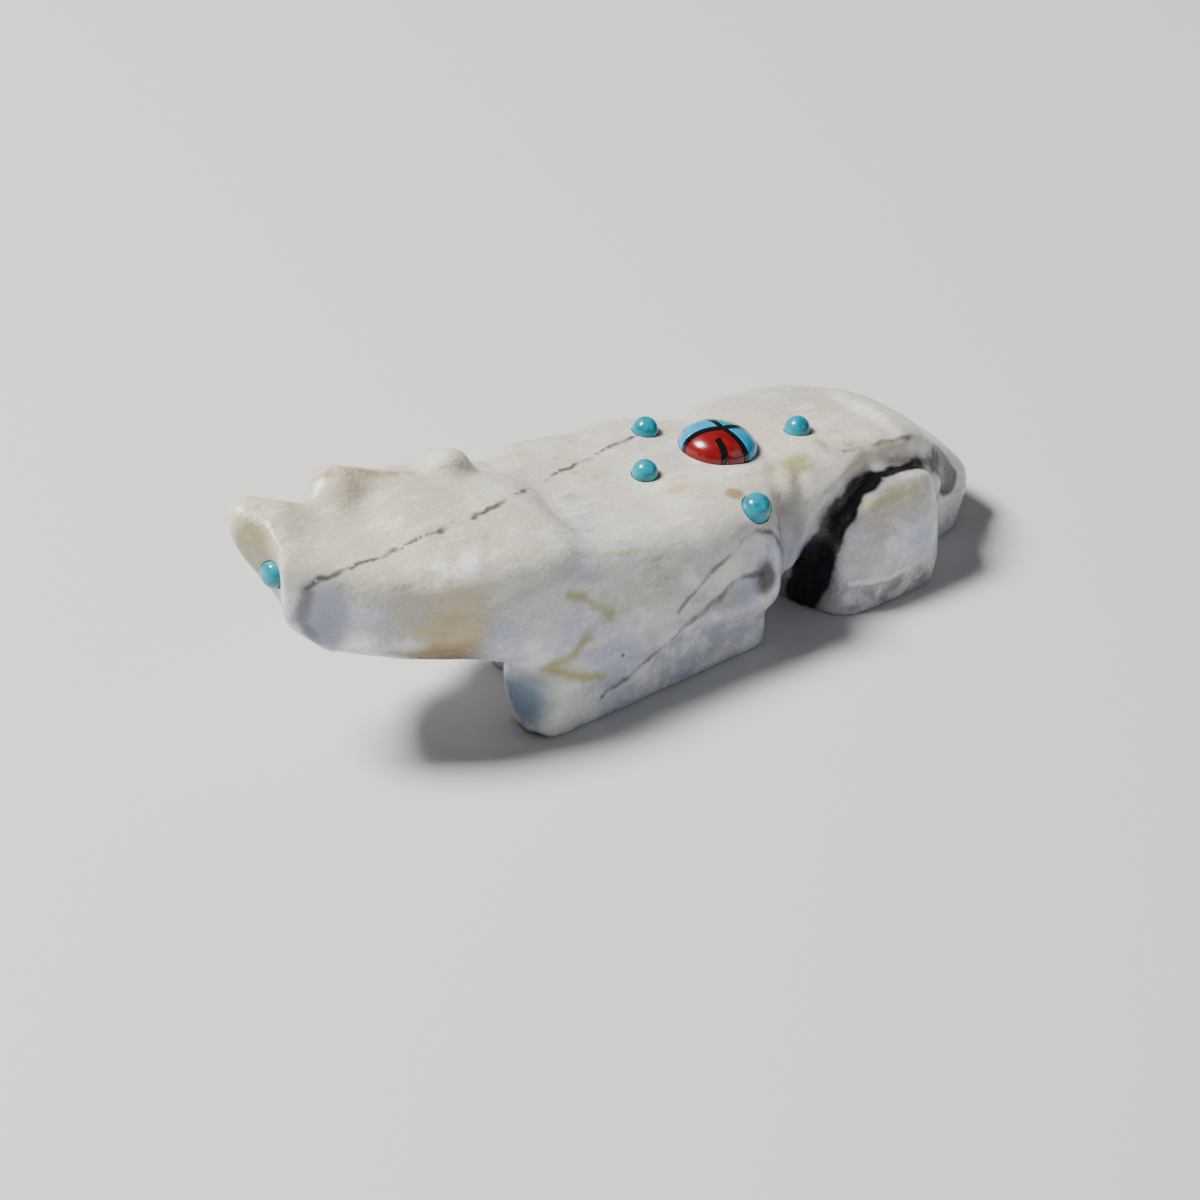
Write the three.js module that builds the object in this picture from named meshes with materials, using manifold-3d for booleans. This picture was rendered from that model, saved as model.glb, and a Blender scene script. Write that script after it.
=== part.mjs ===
// A small standing animal carved from one piece of pale marble. Its head is turned to its right, and
// its back carries a round sun inlay of coral, turquoise and jet with four turquoise dots around it.
// Millimetres. +Z is up, -X is the way the body faces, and -Y is the animal's left side.
// The origin lies on the ground under the middle of the carving.

import * as THREE from 'three';
import Module from 'manifold-3d';
import { mergeVertices } from 'three/addons/utils/BufferGeometryUtils.js';

// Driving dimensions
const LENGTH = 64;
const GLUE_LINE = 0.05;

const DOT_DIAMETER = 2.0;
const DOT_DOME = 1.05;
const DOT_DEPTH = 1.2;
const LEFT_DOT_DIAMETER = 2.35;
const EYE_DIAMETER = 2.1;
const EYE_DOME = 0.7;
const EYE_DEPTH = 0.9;

const SUN_DIAMETER = 5.9;
const SUN_DOME = 1.75;
const SUN_DEPTH = 1.1;
const BAND_WIDTH = 0.42;
const BAR_LENGTH = 1.25;
const RIM_SLIVER_WIDTH = 0.36;

// The carving is drawn in units, and is DRAWN_LENGTH of them long. The legs and the rump are drawn about
// the plane at MIDDLE_Y, and the drawn point MIDDLE comes to lie over the origin.
const DRAWN_LENGTH = 64;
const UNIT = LENGTH / DRAWN_LENGTH;
const MIDDLE_Y = -0.5;
const MIDDLE = [1.57, -0.36];

// The net that is laid over the carving, with its cells and its corners in units, and the stone that is
// left below the feet for the saw
const CELL = 1.09;
const SAW_ROOM = 1.5;
const NET_LOW = [-34.5, -11.2, -2.6];
const NET_HIGH = [35.6, 12.2, 23];

// Fineness of the turned inlay pieces
const DOT_SIDES = 16;
const SUN_SIDES = 36;
const DOME_STEPS = 3;

// Marble, coral, turquoise and jet
function stoneMaterial(colour, roughness) {
  return new THREE.MeshStandardMaterial({ color: colour, roughness, metalness: 0 });
}
const MARBLE = stoneMaterial(0xd9d4c8, 0.42);
const TURQUOISE = stoneMaterial(0x2fb4c4, 0.3);
const BRIGHT_TURQUOISE = stoneMaterial(0x1bb3ee, 0.3);
const CORAL = stoneMaterial(0xa32833, 0.28);
const JET = stoneMaterial(0x0c0b0d, 0.2);

// Rounded joins and cuts of distances, where k is the width of the rounding
function join(a, b, k) {
  const h = Math.max(k - Math.abs(a - b), 0) / k;
  return Math.min(a, b) - (h * h * k) / 4;
}

function keep(a, b, k) {
  return -join(-a, -b, k);
}

function cut(a, b, k) {
  return keep(a, -b, k);
}

// Distance to a flat that the grinding wheel left, through a point and facing out along a normal
function flat(p, through, facing) {
  const size = Math.hypot(...facing);
  let sum = 0;
  for (let i = 0; i < 3; i += 1) {
    sum += ((p[i] - through[i]) * facing[i]) / size;
  }
  return sum;
}

// A block ground to several flats, with its edges rounded over k
function ground(p, flats, k) {
  return flats.map(([through, facing]) => flat(p, through, facing)).reduce((a, b) => keep(a, b, k));
}

// A box with rounded edges
function block(p, middle, half, round) {
  const q = p.map((value, i) => Math.abs(value - middle[i]) - half[i] + round);
  const outside = Math.hypot(...q.map((value) => Math.max(value, 0)));
  return outside + Math.min(Math.max(...q), 0) - round;
}

function egg(p, middle, half) {
  const q = p.map((value, i) => (value - middle[i]) / half[i]);
  const near = Math.hypot(...q);
  const slope = Math.hypot(...q.map((value, i) => value / half[i]));
  return (near * (near - 1)) / (slope + 1e-9);
}

// A rod with round ends, which tapers from one radius to the other
function rod(p, from, to, startRadius, endRadius) {
  const along = to.map((value, i) => value - from[i]);
  const reach = p.map((value, i) => value - from[i]);
  const dot = (a, b) => a[0] * b[0] + a[1] * b[1] + a[2] * b[2];
  const t = Math.min(Math.max(dot(reach, along) / dot(along, along), 0), 1);
  const away = Math.hypot(...reach.map((value, i) => value - t * along[i]));
  return away - startRadius - (endRadius - startRadius) * t;
}

// The back falls towards the tail, and the neck falls to the left of its crest
function back(p) {
  const saddle = flat(p, [3, MIDDLE_Y, 13.7], [0.24, -0.11, 1]);
  const neck = flat(p, [-30.3, MIDDLE_Y, 17.7], [0.025, -0.43, 1]);
  return keep(saddle, neck, 5);
}

function shoulders(p) {
  const sides = ground(p, [
    [[-5, -7.5, 11], [-0.04, -1, 0.2]],
    [[-17.6, -5, 11], [-0.8, -0.5, 0]],
    [[-16.5, 6, 11], [-0.8, 0.5, 0]],
    [[-16.5, 0, 7.9], [-0.5, 0, -0.85]],
    [[-5, 0, 4.2], [0, 0, -1]],
    [[9.8, 0, 10], [1, 0, 0]],
  ], 3);
  const withers = keep(back(p), flat(p, [-14, 6.5, 17.1], [-0.25, 0.35, 1]), 1);
  const rightSide = flat(p, [-5, 7.7, 11], [0.01, 1, 0.07]);
  return keep(keep(sides, withers, 1.8), rightSide, 1.3);
}

// The head is turned to the animal's right. In the face's own axes the first runs out along the snout,
// the second across it towards the right eye, and the third up.
const HEAD_TURN = (57 * Math.PI) / 180;
const FACE_AT = [-26.9, 3.9];

function faceAxes([x, y, z]) {
  const dx = x - FACE_AT[0];
  const dy = y - FACE_AT[1];
  return [
    dy * Math.sin(HEAD_TURN) - dx * Math.cos(HEAD_TURN),
    dx * Math.sin(HEAD_TURN) + dy * Math.cos(HEAD_TURN),
    z,
  ];
}

function fromFace([out, across, up]) {
  return [
    FACE_AT[0] - out * Math.cos(HEAD_TURN) + across * Math.sin(HEAD_TURN),
    FACE_AT[1] + out * Math.sin(HEAD_TURN) + across * Math.cos(HEAD_TURN),
    up,
  ];
}

function head(p) {
  const sides = ground(p, [
    [[-27.5, -0.9, 15], [-0.62, -0.78, 0.12]],
    [[-21, -5.4, 13.5], [0, -1, 0.1]],
    [[-18, 6.9, 15], [0.08, 1, 0.05]],
    [[-24, -3, 7.7], [0, -0.12, -0.95]],
    [[-29, 0, 12], [-0.6, -0.2, -0.75]],
    [[-9, 0, 14], [1, 0, -0.3]],
  ], 3.4);
  const crown = keep(back(p), flat(p, [-24, 4, 20.1], [0.33, 0.3, 1]), 0.7);
  const rightBrow = rod(p, [-21.2, 6.2, 19.1], [-13, 6, 15.2], 1.5, 1.2);
  const skull = join(keep(sides, crown, 1.4), rightBrow, 3);
  return keep(skull, flat(faceAxes(p), [0.35, 0, 17.5], [1, 0, -0.17]), 0.6);
}

const MUZZLE_REACH = 5.2;
const MUZZLE_HALF_WIDTH = 2.7;
const MUZZLE_TOP = 20.1;
const JAW = 13.2;
const CHEEK_HEIGHT = (MUZZLE_TOP + JAW) / 2;
// How far the muzzle's root goes into the skull
const MUZZLE_ROOT = 1.6;

function muzzle(p) {
  return ground(faceAxes(p), [
    [[0, -MUZZLE_HALF_WIDTH, CHEEK_HEIGHT], [0.16, -1, 0.16]],
    [[0, MUZZLE_HALF_WIDTH, CHEEK_HEIGHT], [0.16, 1, 0.16]],
    [[0, 0, MUZZLE_TOP], [-0.16, -0.2, 1]],
    [[MUZZLE_REACH, 0, CHEEK_HEIGHT], [1, 0, 0]],
    [[0, 0, JAW], [0.86, 0, -1]],
    [[-MUZZLE_ROOT, 0, CHEEK_HEIGHT], [-1, 0, 0.45]],
  ], 1.8);
}

// The hollow that runs down the face beside an eye
function eyeHollow(p, side) {
  const across = side * (MUZZLE_HALF_WIDTH + 1.3);
  return rod(faceAxes(p), [1.2, across, MUZZLE_TOP - 1], [0.9, across, JAW + 0.6], 1.2, 1.2);
}

function rump(p) {
  const top = ground(p, [
    [[12, 0, 12.9], [0.03, 0, 1]],
    [[21, 0, 12.3], [0.28, 0, 1]],
    [[28.2, 0, 10.3], [0.66, 0, 1]],
    [[31.7, 0, 6], [1, 0, 0.5]],
    [[20, 0, 3.6], [0, 0, -1]],
    [[3, 0, 5], [-1, 0, 0]],
  ], 2.6);
  const left = ground(p, [
    [[20, -8.2, 6], [0, -1, 0.34]],
    [[28, -6.4, 5], [0.7, -0.7, 0.2]],
  ], 2.6);
  const right = ground(p, [
    [[20, 7.7, 8], [0, 1, 0.06]],
    [[28, 5.6, 5], [0.7, 0.7, 0.2]],
  ], 2.6);
  return keep(keep(top, left, 3.4), right, 2);
}

// The tail hangs down the end of the rump, between the haunches
function tail(p) {
  return ground(p, [
    [[28.2, 0, 9.2], [0.75, 0, 1]],
    [[34.1, 0, 3.8], [1, 0, 0.5]],
    [[30.6, -4.2, 6.5], [0.6, -0.5, 0.6]],
    [[33.6, 0, 3], [1, 0, -0.62]],
    [[28, -4.8, 4], [0.16, -1, 0]],
    [[28, 3.8, 4], [0.16, 1, 0]],
    [[24.5, 0, 4], [-1, 0, 0]],
  ], 1.6);
}

// Legs are drawn on the left and mirrored about the body's middle, with the right forefoot set back
const FOREFEET_REAR = 10;

function foreleg(q, front) {
  const middle = (front + FOREFEET_REAR) / 2;
  const forearm = block(q, [middle, 4.9, 2.9], [FOREFEET_REAR - middle, 2.8, 4.4], 2.8);
  const outer = keep(forearm, flat(q, [0, 7.4, 1], [0, 1, -0.22]), 1);
  const toe = keep(outer, flat(q, [front + 0.6, 5, 1.4], [-1, 0, -0.5]), 2);
  return join(toe, egg(q, [8, 6, 8.2], [2.6, 1.7, 3]), 1);
}

function hindLeg(q) {
  return ground(q, [
    [[14.9, 5.9, 2], [-0.96, 0.28, 0.04]],
    [[20, 9.5, 3.2], [0, 1, -0.16]],
    [[20, 9.3, 1], [0, 1, -0.04]],
    [[26.5, 7.6, 1.6], [0.8, 0.2, -0.5]],
    [[20, 8.5, 6], [0, 1, 0.36]],
    [[26.2, 6, 3], [1, 0.12, 0.12]],
    [[20, 6, 10], [0.1, 0.12, 1]],
    [[20, 1.5, 4], [0, -1, 0]],
    [[20, 5, -3], [0, 0, -1]],
  ], 2.2);
}

// The line over the forearm, from the wrist up to the elbow
function armCrease(q) {
  const stops = [[-16, 9, 7.6], [-4, 9.3, 6.6], [5, 9.3, 7.4], [7, 8.9, 10.5]];
  const runs = stops.slice(1).map((stop, i) => rod(q, stops[i], stop, 1.3, 1.3));
  return runs.reduce((a, b) => join(a, b, 0.6));
}

// The groove that sets the thigh off from the rump, from the belly up and back to the tail
function thighGroove(q, stops) {
  const runs = stops.slice(1).map((stop, i) => rod(q, stops[i], stop, 0.9, 0.9));
  return runs.reduce((a, b) => join(a, b, 0.6));
}

// What differs between the left and the right side: the front of the forefoot, the waist, and where the
// thigh's groove runs, because the rump is ground flatter on the right
const SIDES = [
  {
    side: -1,
    front: -14.2,
    waist: 12.5,
    waistWidth: 2.3,
    thigh: [
      [13.7, 5, 1.5],
      [14.1, 7.1, 7.1],
      [15.9, 7.4, 9.1],
      [20.8, 6.1, 10.7],
      [25.9, 5.5, 9.3],
      [28.7, 4.6, 7.7],
    ],
  },
  {
    side: 1,
    front: -8.6,
    waist: 10.6,
    waistWidth: 2.6,
    thigh: [
      [13.7, 5.4, 1.5],
      [14, 8.3, 7.1],
      [16, 8.5, 9],
      [20.8, 8.3, 10.5],
      [25.9, 6.9, 9.2],
      [28.7, 5, 7.7],
    ],
  },
];

function carving(p) {
  let d = join(shoulders(p), head(p), 3);
  d = join(d, rump(p), 2.5);
  const ear = egg(p, [-11.7, 5, 17], [2.3, 1.6, 1.9]);
  d = join(d, ear, 1);
  d = cut(d, rod(p, [-6.4, 9, 17.2], [-7.4, 3.2, 18.6], 2.2, 1.2), 1.5);
  for (const { side, front, waist, waistWidth, thigh } of SIDES) {
    const q = [p[0], (p[1] - MIDDLE_Y) * side, p[2]];
    d = join(d, foreleg(q, front), 1);
    const above = [waist, 7.7 + waistWidth, 20];
    const below = [waist, 5.9 + waistWidth, 0];
    const hollow = rod(q, above, below, waistWidth, waistWidth);
    d = cut(d, hollow, 1.8);
    d = join(d, hindLeg(q), 1.2);
    d = cut(d, armCrease(q), 1);
    d = cut(d, thighGroove(q, thigh), 0.9);
    const besideTail = rod(q, [27.6, 6.6, 9.6], [27.2, 6.2, -3], 1, 1.3);
    d = cut(d, besideTail, 1);
  }
  d = join(d, tail(p), 0.8);
  d = join(d, muzzle(p), 1.2);
  d = join(d, block(p, [0, MIDDLE_Y, 3], [8.6, 5, 4], 1.5), 1);
  d = join(d, block(p, [21, MIDDLE_Y, 3], [7.2, 5, 4], 1.5), 1);
  d = cut(d, eyeHollow(p, -1), 0.6);
  d = cut(d, eyeHollow(p, 1), 0.6);
  const bellyArch = block(p, [11.7, 0, 0], [2.5, 20, 4.2], 1.8);
  d = cut(d, bellyArch, 0.8);
  const betweenFeet = rod(p, [-30, MIDDLE_Y, -0.4], [40, MIDDLE_Y, -0.4], 1.7, 1.7);
  d = cut(d, betweenFeet, 0.8);
  return Math.max(d, -SAW_ROOM - p[2]);
}

// The way out of the carving at a point
function slope(p) {
  const step = 0.05;
  const rise = [0, 1, 2].map((i) => {
    const ahead = [...p];
    const behind = [...p];
    ahead[i] += step;
    behind[i] -= step;
    return carving(ahead) - carving(behind);
  });
  const size = Math.hypot(...rise);
  return rise.map((value) => value / size);
}

// Pulls a point close to the carving onto its surface
function pull(start) {
  let p = start;
  for (let step = 0; step < 2; step += 1) {
    const away = carving(p);
    const out = slope(p);
    p = p.map((value, axis) => value - 0.8 * away * out[axis]);
  }
  return p;
}

// The corners of a cell, and its edges and the diagonals of its faces as pairs of corners
const CORNERS = [0, 1, 2, 3, 4, 5, 6, 7].map((bits) => [bits & 1, (bits >> 1) & 1, bits >> 2]);
const AXES = [[1, 0, 0], [0, 1, 0], [0, 0, 1]];

function cornerPairs(stepsApart) {
  const pairs = [];
  for (let a = 0; a < 8; a += 1) {
    for (let b = a + 1; b < 8; b += 1) {
      const steps = CORNERS[a].filter((value, axis) => value !== CORNERS[b][axis]).length;
      if (steps === stepsApart) {
        pairs.push([a, b]);
      }
    }
  }
  return pairs;
}
const EDGES = cornerPairs(1);
const DIAGONALS = cornerPairs(2);

// Sorts a cell's corners into parts: stone joins stone along edges only, and air also joins air across
// a face, so that two sheets of the surface in one cell get a knot each
function partsOf(inside) {
  const part = [0, 1, 2, 3, 4, 5, 6, 7];
  const merge = ([a, b]) => {
    const old = part[b];
    part.forEach((value, i) => {
      if (value === old) {
        part[i] = part[a];
      }
    });
  };
  EDGES.filter(([a, b]) => inside[a] === inside[b]).forEach(merge);
  DIAGONALS.filter(([a, b]) => !inside[a] && !inside[b]).forEach(merge);
  return part;
}

// Lays a net of even cells over the carving, and pulls its knots onto the surface
function netGeometry(low, counts) {
  const [nx, ny, nz] = counts;
  const index = (i, j, k) => (k * (ny + 1) + j) * (nx + 1) + i;
  const place = (i, j, k) => [low[0] + i * CELL, low[1] + j * CELL, low[2] + k * CELL];
  const depth = new Float64Array((nx + 1) * (ny + 1) * (nz + 1));
  for (let k = 0; k <= nz; k += 1) {
    for (let j = 0; j <= ny; j += 1) {
      for (let i = 0; i <= nx; i += 1) {
        depth[index(i, j, k)] = carving(place(i, j, k));
      }
    }
  }

  // One knot for each sheet in each cell, in the middle of where the sheet crosses the cell's edges
  const knots = [];
  const knotOf = new Map();
  const sheet = (cell, part, a, b, inside) => {
    const [stone, air] = inside[a] ? [a, b] : [b, a];
    return `${cell} ${part[stone]} ${part[air]}`;
  };
  const cornersAt = (i, j, k) => CORNERS.map(([a, b, c]) => depth[index(i + a, j + b, k + c)]);
  for (let k = 0; k < nz; k += 1) {
    for (let j = 0; j < ny; j += 1) {
      for (let i = 0; i < nx; i += 1) {
        const depths = cornersAt(i, j, k);
        const inside = depths.map((value) => value < 0);
        if (inside.every((value) => value === inside[0])) {
          continue;
        }
        const part = partsOf(inside);
        const crossings = new Map();
        for (const [a, b] of EDGES) {
          if (inside[a] === inside[b]) {
            continue;
          }
          const t = depths[a] / (depths[a] - depths[b]);
          const key = sheet(index(i, j, k), part, a, b, inside);
          const spot = CORNERS[a].map((value, axis) => value + t * (CORNERS[b][axis] - value));
          crossings.set(key, [...(crossings.get(key) || []), spot]);
        }
        for (const [key, spots] of crossings) {
          const middle = place(i, j, k).map((value, axis) => {
            const mean = spots.reduce((sum, spot) => sum + spot[axis], 0) / spots.length;
            return value + mean * CELL;
          });
          knotOf.set(key, knots.length);
          knots.push(pull(middle));
        }
      }
    }
  }

  // One face for each edge of the cells that the surface crosses, between the four cells around it
  const faces = [];
  const apart = (a, b) => Math.hypot(...knots[a].map((value, axis) => value - knots[b][axis]));
  for (let k = 1; k < nz; k += 1) {
    for (let j = 1; j < ny; j += 1) {
      for (let i = 1; i < nx; i += 1) {
        for (let axis = 0; axis < 3; axis += 1) {
          const [di, dj, dk] = AXES[axis];
          const here = depth[index(i, j, k)] < 0;
          if (here === depth[index(i + di, j + dj, k + dk)] < 0) {
            continue;
          }
          const u = AXES[(axis + 1) % 3];
          const v = AXES[(axis + 2) % 3];
          const around = [[1, 1], [0, 1], [0, 0], [1, 0]].map(([s, t]) => {
            const back = AXES.map((unused, n) => s * u[n] + t * v[n]);
            const cell = [i - back[0], j - back[1], k - back[2]];
            const inside = cornersAt(...cell).map((value) => value < 0);
            const near = back[0] + 2 * back[1] + 4 * back[2];
            const far = near + di + 2 * dj + 4 * dk;
            return knotOf.get(sheet(index(...cell), partsOf(inside), near, far, inside));
          });
          const [p0, p1, p2, p3] = here ? around : around.reverse();
          if (apart(p0, p2) < apart(p1, p3)) {
            faces.push(p0, p1, p2, p0, p2, p3);
          } else {
            faces.push(p0, p1, p3, p1, p2, p3);
          }
        }
      }
    }
  }

  const geometry = new THREE.BufferGeometry();
  const positions = new Float32Array(knots.map(inPlace).flat());
  geometry.setAttribute('position', new THREE.BufferAttribute(positions, 3));
  geometry.setIndex(faces);
  return geometry;
}

// From the drawing's units to millimetres over the origin
function inPlace([x, y, z]) {
  return [(x - MIDDLE[0]) * UNIT, (y - MIDDLE[1]) * UNIT, z * UNIT];
}

// Solids for joins and cuts
const wasm = await Module();
wasm.setup();

function solid(geometry) {
  const bare = geometry.clone();
  bare.deleteAttribute('normal');
  bare.deleteAttribute('uv');
  const merged = mergeVertices(bare, 1e-5);
  return new wasm.Manifold(new wasm.Mesh({
    numProp: 3,
    vertProperties: new Float32Array(merged.attributes.position.array),
    triVerts: new Uint32Array(merged.index.array),
  }));
}

function geometryOf(body) {
  const mesh = body.getMesh();
  const geometry = new THREE.BufferGeometry();
  geometry.setAttribute('position', new THREE.BufferAttribute(new Float32Array(mesh.vertProperties), 3));
  geometry.setIndex(Array.from(mesh.triVerts));
  return geometry;
}

// A round peg that reaches down into its socket and ends above in a dome
function pegGeometry(radius, depth, dome, sides) {
  const profile = [new THREE.Vector2(0, -depth), new THREE.Vector2(radius, -depth)];
  for (let step = 0; step < DOME_STEPS; step += 1) {
    const angle = (step / DOME_STEPS) * (Math.PI / 2);
    profile.push(new THREE.Vector2(radius * Math.cos(angle), dome * Math.sin(angle)));
  }
  profile.push(new THREE.Vector2(0, dome));
  const geometry = new THREE.LatheGeometry(profile, sides);
  geometry.rotateX(Math.PI / 2);
  return geometry;
}

// Finds where a line meets the carving, in units
function strike(from, towards) {
  const size = Math.hypot(...towards);
  let p = [...from];
  for (let step = 0; step < 200; step += 1) {
    const away = carving(p);
    p = p.map((value, i) => value + (towards[i] / size) * away * 0.5);
  }
  return p;
}

// A seat on the carving, with its Z axis along the way out
function seatAt(from, towards) {
  const spot = strike(from, towards);
  const out = new THREE.Vector3(...slope(spot));
  const seat = new THREE.Matrix4().makeRotationFromQuaternion(
    new THREE.Quaternion().setFromUnitVectors(new THREE.Vector3(0, 0, 1), out),
  );
  return seat.setPosition(...inPlace(spot));
}

const DOWN = [0, 0, -1];
const ABOVE = 30;

// The eyes sit on the muzzle's flanks, close to the face
function eyeSeat(side) {
  const out = MUZZLE_REACH / 8;
  const height = JAW + 0.43 * (MUZZLE_TOP - JAW);
  const beside = fromFace([out, side * 3 * MUZZLE_HALF_WIDTH, height]);
  const middle = fromFace([out, 0, height]);
  return seatAt(beside, middle.map((value, i) => value - beside[i]));
}

const seats = {
  sun: seatAt([10.55, -0.05, ABOVE], DOWN),
  dot_front: seatAt([3, -0.45, ABOVE], DOWN),
  dot_rear: seatAt([17.55, -1.05, ABOVE], DOWN),
  dot_left: seatAt([8.3, -6.95, ABOVE], DOWN),
  dot_right: seatAt([7.2, 4.35, ABOVE], DOWN),
  eye_left: eyeSeat(-1),
  eye_right: eyeSeat(1),
};

// Each peg has a socket that is wider and deeper by the line of glue
function socket(radius, depth, seat, sides) {
  const room = pegGeometry(radius + GLUE_LINE, depth + GLUE_LINE, ABOVE / 10, sides);
  return solid(room.applyMatrix4(seat));
}

const pegs = [
  ['dot_front', DOT_DIAMETER, DOT_DEPTH, DOT_DOME],
  ['dot_rear', DOT_DIAMETER, DOT_DEPTH, DOT_DOME],
  ['dot_left', LEFT_DOT_DIAMETER, DOT_DEPTH, DOT_DOME],
  ['dot_right', DOT_DIAMETER, DOT_DEPTH, DOT_DOME],
  ['eye_left', EYE_DIAMETER, EYE_DEPTH, EYE_DOME],
  ['eye_right', EYE_DIAMETER, EYE_DEPTH, EYE_DOME],
];

function stoneGeometry() {
  const counts = NET_LOW.map((value, i) => Math.ceil((NET_HIGH[i] - value) / CELL));
  let stone = solid(netGeometry(NET_LOW, counts));
  const floor = new THREE.BoxGeometry(2 * LENGTH, LENGTH, LENGTH).translate(0, 0, -LENGTH / 2);
  stone = stone.subtract(solid(floor));
  stone = stone.subtract(socket(SUN_DIAMETER / 2, SUN_DEPTH, seats.sun, SUN_SIDES));
  for (const [name, diameter, depth] of pegs) {
    stone = stone.subtract(socket(diameter / 2, depth, seats[name], DOT_SIDES));
  }
  return geometryOf(stone);
}

const animal = new THREE.Group();

function addPiece(name, geometry, material) {
  const mesh = new THREE.Mesh(geometry, material);
  mesh.name = name;
  animal.add(mesh);
}

addPiece('stone_animal', stoneGeometry(), MARBLE);
for (const [name, diameter, depth, dome] of pegs) {
  const geometry = pegGeometry(diameter / 2, depth, dome, DOT_SIDES);
  addPiece(name, geometry.applyMatrix4(seats[name]), TURQUOISE);
}

// The sun is drawn from above in shares of its radius, with x towards the tail and y to the left.
// Four arms of jet meet near its middle and part the coral from three pieces of turquoise.
const SUN_RADIUS = SUN_DIAMETER / 2;
const CROSSING = [-0.09, 0.14];
const ARM_ENDS = {
  front: [-0.97, -0.24],
  right: [0.11, -0.99],
  rear: [0.98, 0.2],
  left: [0.09, 1],
};
// The bar's start and the way it runs, and the two ends of the sliver at the rim
const BAR_START = [-0.48, 0.42];
const BAR_WAY = [-0.1, 0.995];
const RIM_START = [-0.66, -0.75];
const RIM_END = [-0.16, -0.987];

function onSun([x, y]) {
  return new THREE.Vector2(x * SUN_RADIUS, -y * SUN_RADIUS);
}

// A flat-sided strip between two points of the sun, stretched past its far end
function strip(from, to, width, stretch) {
  const start = onSun(from);
  const run = onSun(to).sub(start);
  const end = start.clone().addScaledVector(run, stretch);
  const across = new THREE.Vector2(-run.y, run.x).setLength(width / 2);
  const shape = new THREE.Shape([
    start.clone().add(across),
    start.clone().sub(across),
    end.clone().sub(across),
    end.clone().add(across),
  ]);
  return prism(shape);
}

// The room for a strip, with the line of glue all round it
function stripRoom(from, to, width) {
  const run = to.map((value, i) => value - from[i]);
  const share = GLUE_LINE / (SUN_RADIUS * Math.hypot(...run));
  const start = from.map((value, i) => value - share * run[i]);
  const end = to.map((value, i) => value + share * run[i]);
  return strip(start, end, width + 2 * GLUE_LINE, 1);
}

function prism(shape) {
  const tall = 4 * (SUN_DEPTH + SUN_DOME);
  const geometry = new THREE.ExtrudeGeometry(shape, { depth: tall, bevelEnabled: false });
  return solid(geometry.translate(0, 0, -tall / 2));
}

function crossOf(width) {
  const hub = new THREE.Shape();
  hub.absarc(onSun(CROSSING).x, onSun(CROSSING).y, width / 2, 0, 2 * Math.PI);
  return Object.values(ARM_ENDS)
    .map((end) => strip(CROSSING, end, width, 1.5))
    .reduce((a, b) => a.add(b), prism(hub));
}

// The wedge of the sun between two arms
function wedge(from, to) {
  const centre = onSun(CROSSING);
  const ends = [from, to].map((name) => onSun(ARM_ENDS[name]).sub(centre).multiplyScalar(3));
  const between = ends[0].clone().add(ends[1]).setLength(SUN_DIAMETER);
  const corners = [ends[0], between, ends[1]].map((corner) => corner.add(centre));
  return prism(new THREE.Shape([centre, ...corners]));
}

const disc = solid(pegGeometry(SUN_RADIUS, SUN_DEPTH, SUN_DOME, SUN_SIDES));
const cross = crossOf(BAND_WIDTH);
const crossRoom = crossOf(BAND_WIDTH + 2 * GLUE_LINE);
const barEnd = BAR_START.map((value, i) => value + (BAR_WAY[i] * BAR_LENGTH) / SUN_RADIUS);
const bar = strip(BAR_START, barEnd, BAND_WIDTH, 1);
const barRoom = stripRoom(BAR_START, barEnd, BAND_WIDTH);
const rimSliver = strip(RIM_START, RIM_END, RIM_SLIVER_WIDTH, 1);
const rimRoom = stripRoom(RIM_START, RIM_END, RIM_SLIVER_WIDTH);

const frontRight = disc.intersect(wedge('front', 'right')).subtract(crossRoom);
const sunPieces = [
  ['sun_coral', disc.intersect(wedge('front', 'left')).subtract(crossRoom).subtract(barRoom), CORAL],
  ['sun_turquoise_left', frontRight.subtract(rimRoom), BRIGHT_TURQUOISE],
  ['sun_turquoise_top', disc.intersect(wedge('right', 'rear')).subtract(crossRoom), TURQUOISE],
  ['sun_turquoise_right', disc.intersect(wedge('rear', 'left')).subtract(crossRoom), BRIGHT_TURQUOISE],
  ['sun_jet_cross', disc.intersect(cross), JET],
  ['sun_jet_bar', disc.intersect(bar), JET],
  ['sun_jet_rim', frontRight.intersect(rimSliver), JET],
];
for (const [name, body, material] of sunPieces) {
  addPiece(name, geometryOf(body).applyMatrix4(seats.sun), material);
}

export default animal;
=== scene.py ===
"""A small stone animal with an inlaid sun on its back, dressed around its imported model. Metres, +Z up."""

import math

import bpy
import numpy as np
from mathutils import Matrix


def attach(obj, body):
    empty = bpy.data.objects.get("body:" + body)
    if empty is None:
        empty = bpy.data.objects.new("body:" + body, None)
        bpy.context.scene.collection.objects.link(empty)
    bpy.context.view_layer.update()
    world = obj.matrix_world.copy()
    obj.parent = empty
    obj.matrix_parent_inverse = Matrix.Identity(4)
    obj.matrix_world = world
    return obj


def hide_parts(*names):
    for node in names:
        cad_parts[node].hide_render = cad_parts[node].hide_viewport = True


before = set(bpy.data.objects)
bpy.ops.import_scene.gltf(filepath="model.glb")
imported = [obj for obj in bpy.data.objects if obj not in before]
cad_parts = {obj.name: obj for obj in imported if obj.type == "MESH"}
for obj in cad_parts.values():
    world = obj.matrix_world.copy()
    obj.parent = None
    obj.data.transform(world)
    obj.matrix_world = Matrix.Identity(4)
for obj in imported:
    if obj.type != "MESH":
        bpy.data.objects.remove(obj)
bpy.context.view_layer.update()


# The picture: a camera above the animal's left front, a pale table top, and soft window light that comes
# from the upper left with a weak, cooler light from the other side.

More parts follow.
